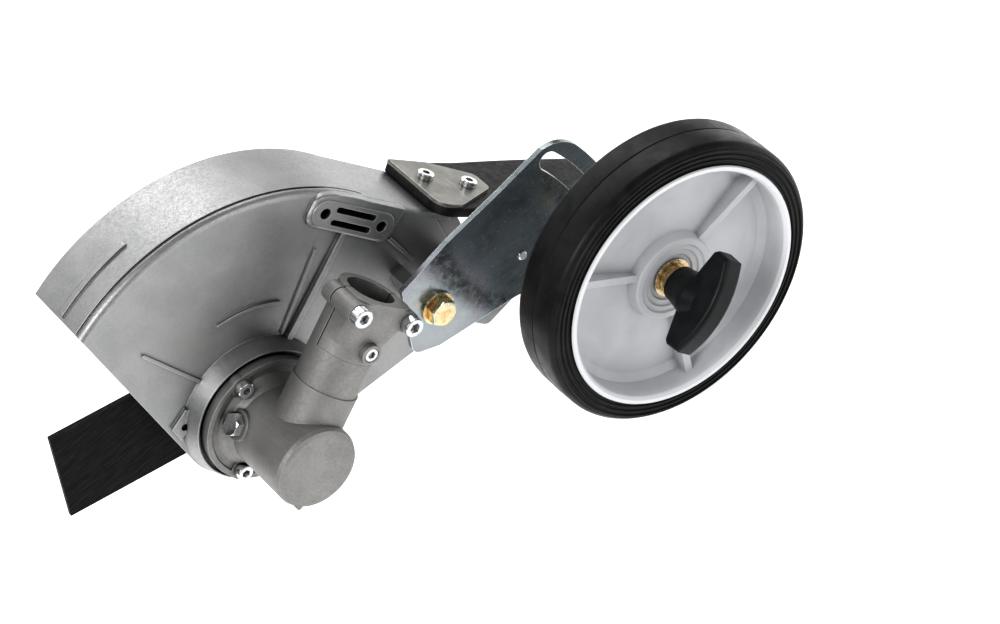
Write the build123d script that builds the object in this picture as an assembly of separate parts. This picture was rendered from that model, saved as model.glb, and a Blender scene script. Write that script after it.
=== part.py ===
from build123d import *
from math import atan2, cos, degrees, hypot, pi, radians, sin, sqrt, tan
import os

# Lawn edger attachment, working attitude, millimetres.
# The design is laid out in gear-head axes: the blade axis is the line X = Z = 0, the outer
# face of the guard is Y = 0, +X is rearward, -Y is the wheel side and +Z is up.
# Each piece is then moved so that the centre of the tube clamp's mouth is the origin.

# ---------------------------------------------------------------- driving dimensions
FIT = 0.03                     # radial clearance of close fits
RUN = 0.06                     # radial clearance of running fits

TUBE_ANGLE = 35.0              # drive tube above horizontal
TUBE_RADIUS = 12.7             # 25.4 mm drive tube
TUBE_Y = -40.0                 # drive axis, from the guard's outer face
MOUTH = 89.0                   # clamp mouth, along the drive axis from the blade axis
TUBE_STOP = 50.0               # shoulder that the tube end meets

BLADE_LENGTH = 200.0
BLADE_WIDTH = 53.0
BLADE_THICKNESS = 2.5
BLADE_Y = 18.75                # face of the blade seat
BLADE_ANGLE = 164.4            # blade direction at rest

GUARD_RADIUS = 120.0
GUARD_DEPTH = 45.0
GUARD_RIM = 3.0
GUARD_PLATE = 3.5
RIM_START = 30.0               # rim arc, degrees about the blade axis
RIM_END = 115.2
BOSS_HEIGHT = 10.0
BOSS_BASE = 40.0
BOSS_TOP = 37.0
SLOPE_END = (129.0, 23.0)      # where the rim meets the flap tongue
SLOT_PAD = (91.3, 58.3)        # middle of the slotted accessory pad
SLOT_PAD_ANGLE = -56.3
SLOT_PAD_SPACING = 37.6        # between its two holes

FLANGE_RADIUS = 34.3
FLANGE_Y = -14.5               # near face of the gear head flange
BARREL_RADIUS = 22.5
BARREL_END = -62.0
CAVITY_RADIUS = 17.6
NECK_RADIUS = 16.6
EAR_OFFSET = 16.7              # clamp screws, each side of the tube
EAR_ALONG = 82.5
EAR_SPAN = 24.6                # depth of the ears along Y
LOCATING_AT = 64.0             # tube locating screw, along the drive axis
LOCATING_BOSS = -20.4          # face of its boss
LOCATING_SEAT = -17.6          # its head sits in a counterbore
CAP_START = 56.0               # where the clamp cap begins, along the drive axis
FLANGE_SCREW_CIRCLE = 29.3
FLANGE_SCREW_ANGLES = (93.0, 213.0, 333.0)
NUB_ANGLE = 216.0              # casting nub under the end cap
PLUG_ANGLE = 129.0             # grease plug
PLUG_SEAT = 23.6               # seat of the plug's head, from the blade axis
PLUG_Y = -21.5

MODULE = 1.5
PINION_TEETH = 14
GEAR_TEETH = 19
FACE_WIDTH = 6.0

SHAFT_RADIUS = 6.0
CAP_BEARING = (4.0, 11.0, 7.0)       # inner radius, outer radius, width
FLANGE_BEARING = (6.0, 14.0, 8.0)
PINION_BEARING = (5.0, 13.0, 8.0)
CAP_BEARING_Y = -59.0
FLANGE_BEARING_Y = -21.5
PINION_BEARINGS_AT = (19.5, 28.0)

BRACKET_Y = -40.0              # near face of the wheel bracket
BRACKET_THICKNESS = 3.0
BRACKET_WASHER = 1.6
BRACKET_BOLT = (97.1, 11.5)
BRACKET_PIN = (148.0, 0.9)
PIN_RADIUS = 2.5
PIN_END = -27.5                # depth of the pin's hole
SLOT_CENTRE = (74.2, -8.4)     # centre of the curved slot
SLOT_RADIUS = 119.0
SLOT_HALF = 5.3
SLOT_TOP = 24.5                # degrees about the slot centre
SLOT_LOW = -7.5
AXLE_ANGLE = -3.5

WHEEL_RADIUS = 78.4
TYRE_BORE = 66.0
TYRE_FAR = -78.0
TYRE_NEAR = -109.0
AXLE_RADIUS = 5.0
BUSH_RADIUS = 8.0
KNOB_BASE = -106.0
KNOB_BAR_ANGLE = 32.0

FLAP_THICKNESS = 5.0
FLAP_PLATE = 2.0
TONGUE_THICKNESS = 4.0
FLAP_LENGTH = 126.0
FLAP_WIDTH = 50.0
FLAP_SLOPE = 45.0
FLAP_HOLE = 2.6
FLAP_SCREWS = ((20.8, 9.0), (28.9, 31.3))

AXLE_X = SLOT_CENTRE[0] + SLOT_RADIUS * cos(radians(AXLE_ANGLE))
AXLE_Z = SLOT_CENTRE[1] + SLOT_RADIUS * sin(radians(AXLE_ANGLE))
BLADE_FAR = BLADE_Y + BLADE_THICKNESS
BLADE_BORE = 10.0
GEAR_PHASE = 180 / GEAR_TEETH - TUBE_ANGLE     # puts a tooth gap at the pinion

# Local frame of the drive axis: x is +Y of the design, y is square to the tube and upward,
# z runs along the tube towards the operator.
DRIVE = Plane(
    origin=(0, TUBE_Y, 0),
    x_dir=(0, 1, 0),
    z_dir=(cos(radians(TUBE_ANGLE)), 0, sin(radians(TUBE_ANGLE))),
).location
# Local frame of the rear flap: x runs across from the far edge towards -Y, y runs down the
# slope, z points up and rearward out of the guard.
FLAP = Plane(
    origin=(SLOPE_END[0], GUARD_DEPTH, SLOPE_END[1]),
    x_dir=(0, -1, 0),
    z_dir=(sin(radians(FLAP_SLOPE)), 0, cos(radians(FLAP_SLOPE))),
).location
TO_MOUTH = Pos(
    -MOUTH * cos(radians(TUBE_ANGLE)),
    -TUBE_Y,
    -MOUTH * sin(radians(TUBE_ANGLE)),
)


# ---------------------------------------------------------------- helpers
def save(name, *pieces):
    """Write the pieces of one node, moved to the clamp-mouth origin."""
    moved = [TO_MOUTH * piece for piece in pieces]
    solids = [solid for piece in moved for solid in piece.solids()]
    shape = solids[0] if len(solids) == 1 else Compound(children=solids)
    shape.label = name
    export_step(shape, f"parts/{name}.step")


def side(shape, y_near, y_far):
    """Extrude an XZ face between two Y levels; sketch x is X and sketch y is Z."""
    plane = Plane(origin=(0, y_far, 0), x_dir=(1, 0, 0), z_dir=(0, -1, 0))
    return extrude(plane * shape, amount=y_far - y_near)


def disc(radius, y_near, y_far, x=0.0, z=0.0):
    """Cylinder along Y."""
    return side(Pos(x, z) * Circle(radius), y_near, y_far)


def ring(outer, inner, y_near, y_far, x=0.0, z=0.0):
    """Tube along Y."""
    return side(Pos(x, z) * (Circle(outer) - Circle(inner)), y_near, y_far)


def rod(radius, start, end, x=0.0, y=0.0):
    """Cylinder along the local Z axis."""
    return Pos(x, y, start) * Cylinder(radius, end - start, align=(Align.CENTER, Align.CENTER, Align.MIN))


def pipe(outer, inner, start, end):
    """Tube along the local Z axis."""
    return rod(outer, start, end) - rod(inner, start - 1, end + 1)


def polar(radius, angle, centre=(0.0, 0.0)):
    """Point at a radius and an angle in the XZ plane."""
    return (centre[0] + radius * cos(radians(angle)), centre[1] + radius * sin(radians(angle)))


def turned(points):
    """Solid of revolution about local Z from (radius, height) points."""
    face = Plane.XZ * make_face(Polyline(*points, close=True))
    return revolve(face, Axis.Z)


def turned_y(points):
    """Solid of revolution about the blade axis from (radius, Y) points."""
    return Rot(-90, 0, 0) * turned(points)


def arc_strip(radius, width, start, end, centre=(0.0, 0.0)):
    """Face of a curved strip with round ends."""
    strip = make_face([
        CenterArc(centre, radius + width / 2, start, end - start),
        Line(polar(radius + width / 2, end, centre), polar(radius - width / 2, end, centre)),
        CenterArc(centre, radius - width / 2, start, end - start),
        Line(polar(radius - width / 2, start, centre), polar(radius + width / 2, start, centre)),
    ])
    for angle in (start, end):
        strip = strip + Pos(*polar(radius, angle, centre)) * Circle(width / 2)
    return strip


def radial_strip(angle, start, end, width):
    """Face of a straight radial rib with round ends."""
    length = end - start
    return Rot(0, 0, angle) * (Pos((start + end) / 2, 0) * SlotCenterToCenter(length, width))


def ball_ring(radius, ball, count):
    """Balls spread round the local Z axis."""
    return [Rot(0, 0, 360 / count * index) * (Pos(radius, 0, 0) * Sphere(ball)) for index in range(count)]


def bearing(size, count):
    """Outer ring, inner ring and balls of a ball bearing, from local Z = 0 upward."""
    bore, outside, width = size
    middle = (bore + outside) / 2
    ball = (outside - bore) * 0.27
    land = (outside - bore) * 0.3
    groove = Pos(0, 0, width / 2) * Torus(middle, ball + FIT)
    outer = pipe(outside - FIT, outside - land, 0, width) - groove
    inner = pipe(bore + land, bore + FIT, 0, width) - groove
    balls = [Pos(0, 0, width / 2) * item for item in ball_ring(middle, ball, count)]
    return outer, inner, balls


def on_spindle(shape, y):
    """Place a local-Z shape on the blade axis, rising towards +Y from a Y level."""
    return Pos(0, y, 0) * (Rot(-90, 0, 0) * shape)


def socket_screw(thread, head, head_height, length, key):
    """Socket head screw: head above local Z = 0, shank below."""
    screw = rod(head, 0, head_height) + rod(thread, -length, 0.01)
    screw = chamfer(screw.edges().group_by(Axis.Z)[-1], 0.4)
    recess = Pos(0, 0, head_height) * extrude(RegularPolygon(key, 6), amount=-head_height * 0.55)
    return screw - recess


def hex_bolt(thread, flats, head_height, length):
    """Hex head bolt: head above local Z = 0, shank below."""
    head = extrude(RegularPolygon(flats / 2, 6, major_radius=False), amount=head_height)
    crown = turned([
        (0, 0), (flats * 0.62, 0), (flats * 0.62, head_height - 1), (flats * 0.5, head_height),
        (0, head_height)])
    return (head & crown) + rod(thread, -length, 0.01)


def facing_viewer(x, y, z, spin=0.0):
    """Location whose local Z points to -Y."""
    return Plane(origin=(x, y, z), x_dir=(1, 0, 0), z_dir=(0, -1, 0)).location * Rot(0, 0, spin)


# ---------------------------------------------------------------- guard
def open_edge(z):
    """X of the guard's straight front edge at a height."""
    return -51.1 + 0.0984 * (108.6 - z)


def guard_outline(inset):
    """Side outline of the guard, moved inward at the rim and the slope."""
    radius = GUARD_RADIUS - inset
    rim_top = polar(radius, RIM_START)
    slope = (SLOPE_END[0] - inset * 0.83, SLOPE_END[1] - inset * 0.56)
    front = polar(radius, RIM_END)
    return [
        CenterArc((0, 0), radius, RIM_START, RIM_END - RIM_START),
        Line(front, (open_edge(0), 0)),
        ThreePointArc((open_edge(0), 0), polar(40.6, 225), (0, -41.5)),
        Line((0, -41.5), (108, -48)),
        Line((108, -48), (slope[0], -30)),
        Line((slope[0], -30), slope),
        Line(slope, rim_top),
    ]


def bracket_pad():
    """Cast arm that carries the wheel bracket, with its legs to the side plate."""
    pad_near = BRACKET_Y + BRACKET_THICKNESS
    pad_face = make_face(Polyline(
        (85, 20), (122, 14), (157, 12), (158, -8), (138, -22), (116, -26), (106, -12), (86, -7), close=True))
    pad = fillet(side(pad_face, pad_near, pad_near + 8).edges().filter_by(Axis.Y), 4)
    legs = ((98, 0, 7, 18), (122, -12, 7, 20), (118, -19, 15, 7))
    for x, z, width, height in legs:
        pad = pad + side(Pos(x, z) * Rectangle(width, height), pad_near + 7, 1)
    pad = pad + disc(8.5, pad_near, -22, *BRACKET_BOLT) + disc(6, pad_near, -26, *BRACKET_PIN)
    pad = pad - disc(4 + FIT, pad_near - 1, -24, *BRACKET_BOLT)
    return pad - disc(PIN_RADIUS + FIT, pad_near - 1, PIN_END, *BRACKET_PIN)


def flap_tongue():
    """Sloping tongue under the rubber flap, with the web that stiffens it."""
    outline = Polyline((0.5, -6), (44.5, -6), (44.5, 12), (31, 42), (19, 43), (3, 22), close=True)
    tongue = extrude(make_face(outline), amount=-TONGUE_THICKNESS)
    for place in FLAP_SCREWS:
        tongue = tongue - rod(FLAP_HOLE, -6, 1, *place)
    web = make_face(Polyline((128.8, 22.5), (139.4, 11.9), (139.4, 3), (124, -6), (124, 18), close=True))
    return FLAP * tongue + side(web, 1.2, 4)


def add_slotted_pad(shell):
    """Raised pad by the rim with two bolt holes and two narrow slots."""
    place = Pos(*SLOT_PAD) * Rot(0, 0, SLOT_PAD_ANGLE)
    face = Polyline((-27.8, -8.8), (28, -8.8), (30, 16), (-6, 16), (-16, 10.8), (-27.8, 8), close=True)
    face = make_face(face)
    rounded = [corner for corner in face.vertices() if corner.Y < 12]
    face = place * fillet(rounded, 6.5)
    top = Plane(origin=(0, -1.8, 0), x_dir=(1, 0, 0), z_dir=(0, -1, 0)) * face
    pad = side(face, -1.8, 6) + extrude(top, amount=1, taper=40)
    pad = pad + side(place * SlotCenterToCenter(SLOT_PAD_SPACING, 15), -3.5, 0)
    shell = shell + (pad & side(make_face(guard_outline(0.3)), -5, 7))
    for along in (-SLOT_PAD_SPACING / 2, SLOT_PAD_SPACING / 2):
        shell = shell - side(place * Pos(along, 0) * Circle(3), -5, 5)
    for across in (-3.5, 3.5):
        shell = shell - side(place * Pos(0, across) * SlotCenterToCenter(23, 3.3), -5, 5)
    return shell


def guard_shell():
    """Cast guard: side plate, rim wall, flange boss, ribs, slotted boss and tongue."""
    plate = side(make_face(guard_outline(0)), 0, GUARD_DEPTH)
    near_arcs = plate.edges().filter_by(GeomType.CIRCLE).group_by(Axis.Y)[0]
    plate = fillet(near_arcs.sort_by(SortBy.LENGTH)[-1:], 3.5)
    inside = make_face([
        CenterArc((0, 0), GUARD_RADIUS - GUARD_RIM, RIM_START, RIM_END + 8 - RIM_START),
        Line(polar(GUARD_RADIUS - GUARD_RIM, RIM_END + 8), (-90, -70)),
        Line((-90, -70), (SLOPE_END[0] + 9, -70)),
        Line((SLOPE_END[0] + 9, -70), (SLOPE_END[0] + 9, 16)),
        Line((SLOPE_END[0] + 9, 16), (SLOPE_END[0] - 2.5, 19)),
        Line((SLOPE_END[0] - 2.5, 19), polar(GUARD_RADIUS - GUARD_RIM, RIM_START)),
    ])
    shell = plate - side(inside, GUARD_PLATE, GUARD_DEPTH + 1)
    boss = turned_y([(0, 1), (BOSS_BASE, 1), (BOSS_BASE, 0), (BOSS_TOP, -BOSS_HEIGHT), (0, -BOSS_HEIGHT)])
    hollow = turned_y([
        (0, GUARD_PLATE + 1), (BOSS_BASE - 3, GUARD_PLATE + 1), (BOSS_BASE - 3, 1.5),
        (BOSS_TOP - 3.5, 4 - BOSS_HEIGHT), (0, 4 - BOSS_HEIGHT)])
    groove = ring(FLANGE_RADIUS + 2.0, FLANGE_RADIUS, -BOSS_HEIGHT - 1, 2.6 - BOSS_HEIGHT)
    shell = shell + boss - hollow - groove
    for angle in FLANGE_SCREW_ANGLES:
        x, z = polar(FLANGE_SCREW_CIRCLE, angle)
        shell = shell + disc(5, -7, 2, x, z) - disc(2.5 + FIT, -11, 3, x, z)
    shell = shell - disc(18 + FIT, -11, 5)
    ribs = [
        (arc_strip(59, 1.8, 49, 83), 1.2),
        (radial_strip(112.5, 39, 81, 1.8), 1.2),
        (radial_strip(39.8, 42, 88, 1.6), 1.0),
        (radial_strip(32.6, 40, 99, 3.2), 2.4),
    ]
    rear_rib = Pos(105.2, 19) * Rot(0, 0, degrees(atan2(-21.7, 4.9))) * SlotCenterToCenter(22, 1.8)
    ribs.append((rear_rib, 1.4))
    for face, height in ribs:
        shell = shell + side(face, -height, 1)
    bead = side(arc_strip(GUARD_RADIUS - 1, 4.2, 93, 114), 19, 22.5)
    shell = shell + (bead - disc(GUARD_RADIUS - 2, 10, 30))
    lip_groove = arc_strip(GUARD_RADIUS + 0.6, 3.0, RIM_START + 1, RIM_END + 3)
    shell = shell - side(lip_groove, 3.4, 5.4)
    lug = side(make_face(Polyline((-39.5, 14), (-40.3, 24), (-29, 29), (-24, 22), close=True)), -2, 1)
    shell = shell + lug - disc(2, -3, 4, -34.2, 20)
    return add_slotted_pad(shell) + bracket_pad() + flap_tongue()


# ---------------------------------------------------------------- gear head
def neck_body():
    """Tube socket in drive axes, solid, with its clamp ears."""
    near = Rectangle(NECK_RADIUS, 2 * NECK_RADIUS, align=(Align.MAX, Align.CENTER))
    near = fillet(near.vertices().group_by(Axis.X)[0], 7)
    square = near + Circle(NECK_RADIUS)
    body = rod(NECK_RADIUS + 0.7, 0, 36.5) + rod(NECK_RADIUS, 0, MOUTH)
    body = body + loft([Pos(0, 0, 62) * Circle(NECK_RADIUS - 0.1), Pos(0, 0, 76) * square])
    body = body + Pos(0, 0, 76) * extrude(square, amount=MOUTH - 76)
    ears = Pos(-4.3, 0, EAR_ALONG) * Box(EAR_SPAN, 2 * EAR_OFFSET, 11)
    for offset_y in (-EAR_OFFSET, EAR_OFFSET):
        ears = ears + Pos(-NECK_RADIUS, offset_y, EAR_ALONG) * (Rot(0, 90, 0) * rod(5.5, 0, EAR_SPAN))
    screw_boss = Pos(LOCATING_BOSS, 0, LOCATING_AT) * (Rot(0, 90, 0) * rod(5.2, 0, 9))
    return body + ears + screw_boss


def clamp_zone():
    """Block that holds the removable clamp cap, in drive axes."""
    return Box(30, 60, MOUTH - CAP_START + 1, align=(Align.MAX, Align.CENTER, Align.MIN))


def clamp_bores():
    """Tube bore and the screw holes of the clamp, in drive axes."""
    holes = rod(TUBE_RADIUS + 0.05, TUBE_STOP, MOUTH + 1)
    for offset_y in (-EAR_OFFSET, EAR_OFFSET):
        holes = holes + Pos(-20, offset_y, EAR_ALONG) * (Rot(0, 90, 0) * rod(3 + FIT, 0, 26))
    at_screw = Pos(LOCATING_SEAT, 0, LOCATING_AT) * Rot(0, 90, 0)
    return holes + at_screw * (rod(2.5 + FIT, -5, 12) + rod(3.9, -5, 0))


def plug_boss():
    """Location of the grease plug on the barrel, local Z outward."""
    return Pos(0, PLUG_Y, 0) * Rot(0, 90 - PLUG_ANGLE, 0)


def gear_housing():
    """Gear case: flange, barrel, tube socket, bearing seats and tapped holes."""
    outer = turned_y([
        (0, -6), (18, -6), (18, -BOSS_HEIGHT), (FLANGE_RADIUS, -BOSS_HEIGHT), (FLANGE_RADIUS, FLANGE_Y),
        (FLANGE_RADIUS - 2.8, FLANGE_Y), (FLANGE_RADIUS - 3.4, FLANGE_Y + 0.8), (27.5, FLANGE_Y + 0.8),
        (24.8, FLANGE_Y - 1.6), (BARREL_RADIUS, FLANGE_Y - 5),
        (BARREL_RADIUS, BARREL_END + 3), (BARREL_RADIUS - 0.9, BARREL_END + 0.9),
        (BARREL_RADIUS - 3, BARREL_END), (0, BARREL_END)])
    for angle in FLANGE_SCREW_ANGLES:
        x, z = polar(FLANGE_SCREW_CIRCLE, angle)
        outer = outer + disc(5.8, FLANGE_Y, -BOSS_HEIGHT, x, z) - disc(5.0, FLANGE_Y - 8, FLANGE_Y, x, z)
    nub = disc(1.6, BARREL_END + 0.6, BARREL_END + 12, *polar(BARREL_RADIUS - 0.6, NUB_ANGLE))
    outer = outer + nub + DRIVE * neck_body() + plug_boss() * rod(8, 5, PLUG_SEAT)
    inner = on_spindle(rod(CAVITY_RADIUS, 0, 30), -52)
    inner = inner + on_spindle(rod(CAP_BEARING[1], 0, 8), CAP_BEARING_Y)
    inner = inner + on_spindle(rod(FLANGE_BEARING[1], 0, 17), -22)
    inner = inner + on_spindle(rod(15.1, 0, 1.3), -13.45)
    bores = rod(12, 0, 20) + rod(PINION_BEARING[1], PINION_BEARINGS_AT[0], 36.3)
    bores = bores + rod(14, 36.2, 37.5) + rod(PINION_BEARING[1], 37.4, 40) + rod(11.6, 39, 51)
    shell = outer - inner - DRIVE * (bores + clamp_bores())
    shell = shell - DRIVE * (Pos(0.4, 0, CAP_START) * clamp_zone())
    for angle in FLANGE_SCREW_ANGLES:
        x, z = polar(FLANGE_SCREW_CIRCLE, angle)
        shell = shell - disc(2.6, -20, -9, x, z)
    return shell - plug_boss() * (rod(4 + FIT, 10, 30) + rod(6.6, PLUG_SEAT, 40))


def clamp_cap():
    """Removable half of the tube clamp."""
    cap = (neck_body() & (Pos(-0.4, 0, CAP_START + 0.15) * clamp_zone())) - clamp_bores()
    return DRIVE * cap


def clamp_screws():
    """Two socket screws that close the clamp."""
    screw = socket_screw(3, 5, 5.5, 22, 2.9)
    return [DRIVE * (Pos(-16.6, y, EAR_ALONG) * (Rot(0, -90, 0) * screw)) for y in (-EAR_OFFSET, EAR_OFFSET)]


def locating_screw():
    """Screw that locates the tube, in the middle of the cap."""
    screw = socket_screw(2.5, 3.8, 2.7, 4.6, 2.1)
    return DRIVE * (Pos(LOCATING_SEAT, 0, LOCATING_AT) * (Rot(0, -90, 0) * screw))


def flange_screws():
    """Three screws between gear head and guard."""
    screw = socket_screw(2.5, 4.3, 4.4, 14, 2.3)
    return [facing_viewer(x, FLANGE_Y, z) * screw for x, z in
            (polar(FLANGE_SCREW_CIRCLE, angle) for angle in FLANGE_SCREW_ANGLES)]


def grease_plug():
    """Hex plug of the grease filler."""
    return plug_boss() * (Pos(0, 0, PLUG_SEAT) * hex_bolt(4, 11, 5, 7.5))


def involute_half_angle(radius, pitch, thickness):
    """Half the angle that an involute tooth spans at a radius."""
    pressure = radians(20)
    base = pitch * cos(pressure)
    local = max(radius, base)
    bend = sqrt((local / base) ** 2 - 1)
    roll = bend - atan2(bend, 1)
    return thickness / (2 * pitch) + tan(pressure) - pressure - roll


def bevel_teeth(teeth, mate):
    """Bevel gear blank with teeth about local Z, apex at the origin."""
    pitch = MODULE * teeth / 2
    cone = atan2(teeth, mate)
    distance = MODULE * hypot(teeth, mate) / 2
    virtual = pitch / cos(cone)
    thickness = pi * MODULE / 2 * 0.88
    levels = (-1.25 * MODULE, -0.5 * MODULE, 0.0, 0.5 * MODULE, 0.95 * MODULE)
    tangent = [
        (virtual + level, involute_half_angle(virtual + level, virtual, thickness)) for level in levels]
    right = [(radius * sin(half), radius * cos(half) - virtual) for radius, half in tangent]
    left = [(-x, y) for x, y in reversed(right)]
    section = make_face(Polyline(*right, *left, close=True))
    small = 1 - FACE_WIDTH / distance

    def placed(scale_by):
        plane = Plane(
            origin=(pitch * scale_by, 0, distance * cos(cone) * scale_by),
            x_dir=(0, 1, 0),
            z_dir=(sin(cone), 0, cos(cone)),
        )
        outward = 1 if plane.y_dir.X > 0 else -1
        face = scale(section, by=(scale_by, scale_by * outward, 1))
        return plane * face

    tooth = loft([placed(small), placed(1.0)], ruled=True)
    foot = 1.2 * MODULE
    big = (pitch - foot * cos(cone), distance * cos(cone) + foot * sin(cone))
    blank = turned([
        (0, big[1] * small), (big[0] * small, big[1] * small), big,
        (big[0], big[1] + 0.8), (0, big[1] + 0.8)])
    for index in range(teeth):
        blank = blank + Rot(0, 0, 360 / teeth * index) * tooth
    return blank, big


def pinion_shaft():
    """Bevel pinion in one piece with its shaft and square drive socket."""
    pinion, _ = bevel_teeth(PINION_TEETH, GEAR_TEETH)
    shaft = rod(7, 15, PINION_BEARINGS_AT[0]) + rod(PINION_BEARING[0], 16, 37.5) + rod(7.5, 36.4, 48)
    socket = Pos(0, 0, 34) * extrude(Rectangle(6.2, 6.2), amount=20)
    return DRIVE * (pinion + shaft - socket)


def bevel_gear():
    """Driven bevel gear on the blade spindle."""
    gear, big = bevel_teeth(GEAR_TEETH, PINION_TEETH)
    hub = rod(9, big[1], -TUBE_Y + FLANGE_BEARING_Y - 0.1)
    gear = Rot(0, 0, GEAR_PHASE) * (gear + hub)
    return on_spindle(gear - rod(SHAFT_RADIUS + FIT, -5, 30), TUBE_Y)


def spindle():
    """Blade spindle: stepped shaft with two flats and a left-hand thread end."""
    steps = [
        (0, -59), (4, -59), (4, -51.6), (SHAFT_RADIUS, -51.6), (SHAFT_RADIUS, 16), (5, 16),
        (5, 33), (4.2, 34), (0, 34)]
    shaft = turned_y(steps)
    for flat in (-1, 1):
        shaft = shaft - Pos(0, 4, flat * 9.1) * Box(20, 24.2, 8)
    return shaft


def drive_washer():
    """Blade adapter that sits on the spindle flats and centres the blade."""
    body = turned_y([
        (0, -5.5), (9, -5.5), (9, 12), (17, 13.5), (17, BLADE_Y), (10, BLADE_Y), (10, 21), (0, 21)])
    bore = side(Circle(SHAFT_RADIUS + FIT) & Rectangle(20, 10.2 + 2 * FIT), -7.9, 16)
    return body - bore - disc(SHAFT_RADIUS + FIT, -9, -7.9) - disc(5 + FIT, 15.9, 30)


def blade():
    """Flat rectangular edging blade."""
    plate = side(Rectangle(BLADE_LENGTH, BLADE_WIDTH), BLADE_Y, BLADE_FAR)
    plate = plate - disc(BLADE_BORE + FIT, BLADE_Y - 1, BLADE_FAR + 1)
    return Rot(0, -BLADE_ANGLE, 0) * plate


def blade_clamp_washer():
    """Dished washer on the far side of the blade."""
    return turned_y([
        (5 + FIT, BLADE_FAR), (8, 22.2), (13, 22.2), (13, BLADE_FAR), (17, BLADE_FAR), (16, 24),
        (5 + FIT, 25.5)])


def blade_nut():
    """Flanged nut that holds the blade."""
    nut = on_spindle(extrude(RegularPolygon(8.5, 6, major_radius=False), amount=7), 25.5)
    return nut - disc(5 + FIT, 20, 40)


def shaft_seal():
    """Lip seal that closes the flange end of the gear case."""
    return ring(FLANGE_BEARING[1] - FIT, SHAFT_RADIUS + FIT, -12, -7)


def circlip(outer, inner, gap):
    """Internal retaining ring, from local Z = 0 upward."""
    clip = pipe(outer, inner, 0, 1.1)
    return clip - Pos(outer, 0, 0.5) * Box(outer, gap, 4)


# ---------------------------------------------------------------- wheel bracket and flap
def wheel_bracket():
    """Plated steel side plate with the curved height slot."""
    rear = SLOT_RADIUS + 14
    top_corner = polar(rear, 20, SLOT_CENTRE)
    low_corner = polar(rear, -9.5, SLOT_CENTRE)
    outline = make_face([
        Polyline((74.6, -4.2), (85.4, 35.4), (117.6, 42), (154.8, 46), (182, 50)),
        ThreePointArc((182, 50), (191.2, 46.8), top_corner),
        ThreePointArc(top_corner, polar(rear, 6, SLOT_CENTRE), low_corner),
        ThreePointArc(low_corner, (198.5, -37.2), (186, -35)),
        Polyline((186, -35), (134.6, -19.8), (88.8, -11.4), (74.6, -4.2)),
    ])
    plate = side(outline, BRACKET_Y, BRACKET_Y + BRACKET_THICKNESS)
    corners = [
        edge for edge in plate.edges().filter_by(Axis.Y) if edge.center().X < 90 and edge.center().Z < 0]
    plate = fillet(corners, 6)
    slot = arc_strip(SLOT_RADIUS, 2 * SLOT_HALF, SLOT_LOW, SLOT_TOP, SLOT_CENTRE)
    plate = plate - side(slot, BRACKET_Y - 1, BRACKET_Y + 5)
    plate = plate - disc(4.3, BRACKET_Y - 1, BRACKET_Y + 5, *BRACKET_BOLT)
    return plate - disc(PIN_RADIUS + FIT, BRACKET_Y - 1, BRACKET_Y + 5, *BRACKET_PIN)


def bracket_bolt():
    """Hex bolt that holds the bracket on the guard's pad."""
    x, z = BRACKET_BOLT
    return facing_viewer(x, BRACKET_Y - BRACKET_WASHER, z, 12) * hex_bolt(4, 13, 5.5, 17)


def bracket_washer():
    """Plain washer under the bracket bolt."""
    return ring(9, 4.3, BRACKET_Y - BRACKET_WASHER, BRACKET_Y, *BRACKET_BOLT)


def bracket_pin():
    """Dowel that keeps the bracket from turning about its bolt."""
    pin = disc(PIN_RADIUS, BRACKET_Y - 1.5, PIN_END - 0.1, *BRACKET_PIN)
    return chamfer(pin.edges().group_by(Axis.Y)[0], 0.6)


def rubber_flap():
    """Rear debris flap."""
    corners = ((0, 0), (FLAP_WIDTH, 0), (FLAP_WIDTH, FLAP_LENGTH), (0, FLAP_LENGTH))
    outline = make_face(Polyline(*corners, close=True))
    outline = fillet(outline.vertices().sort_by_distance(corners[1])[0], 10)
    sheet = extrude(outline, amount=FLAP_THICKNESS)
    for place in FLAP_SCREWS:
        sheet = sheet - rod(FLAP_HOLE, -2, 10, *place)
    return FLAP * sheet


def flap_plate():
    """Shield-shaped plate that clamps the flap."""
    outline = make_face(Polyline(
        (0, 0), (49, 0), (49, 14), (31, 44.5), (17, 44.5), (3.5, 21.7), close=True))
    outline = fillet(outline.vertices().sort_by(Axis.X)[2:4], 5)
    outline = fillet(outline.vertices().sort_by(Axis.X)[-2:], 8)
    plate = Pos(0, 0, FLAP_THICKNESS) * extrude(outline, amount=FLAP_PLATE)
    for place in FLAP_SCREWS:
        plate = plate - rod(FLAP_HOLE, -2, 10, *place)
    return FLAP * plate


def flap_screws():
    """Two screws through plate, flap and tongue."""
    screw = socket_screw(2.5, 4.4, 3.4, 16, 2.2)
    return [FLAP * (Pos(x, y, FLAP_THICKNESS + FLAP_PLATE) * screw) for x, y in FLAP_SCREWS]


def flap_nuts():
    """Nuts under the tongue."""
    nut = extrude(RegularPolygon(4, 6, major_radius=False), amount=4) - rod(2.5 + FIT, -1, 6)
    return [FLAP * (Pos(x, y, -TONGUE_THICKNESS - 4) * nut) for x, y in FLAP_SCREWS]


# ---------------------------------------------------------------- wheel
def on_axle(shape):
    """Place a shape made about the blade axis on the wheel axle."""
    return Pos(AXLE_X, 0, AXLE_Z) * shape


def axle_bolt():
    """Round-head bolt with a square neck that slides in the slot."""
    bolt = turned_y([
        (0, -31.5), (6, -31.8), (10.5, -35), (10.5, -37), (AXLE_RADIUS, -37), (AXLE_RADIUS, -116),
        (4.2, -117), (0, -117)])
    neck = Rot(0, -AXLE_ANGLE, 0) * (Pos(0, -38.4, 0) * Box(10.1, 3.0, 10.1))
    return on_axle(bolt + neck)


def axle_washer():
    """Thick washer that bears on the bracket."""
    return on_axle(ring(12, AXLE_RADIUS + FIT, -42.5, BRACKET_Y))


def axle_spacer():
    """Tube between the washer and the wheel bush."""
    return on_axle(ring(BUSH_RADIUS, AXLE_RADIUS + FIT, -77, -42.5))


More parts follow.
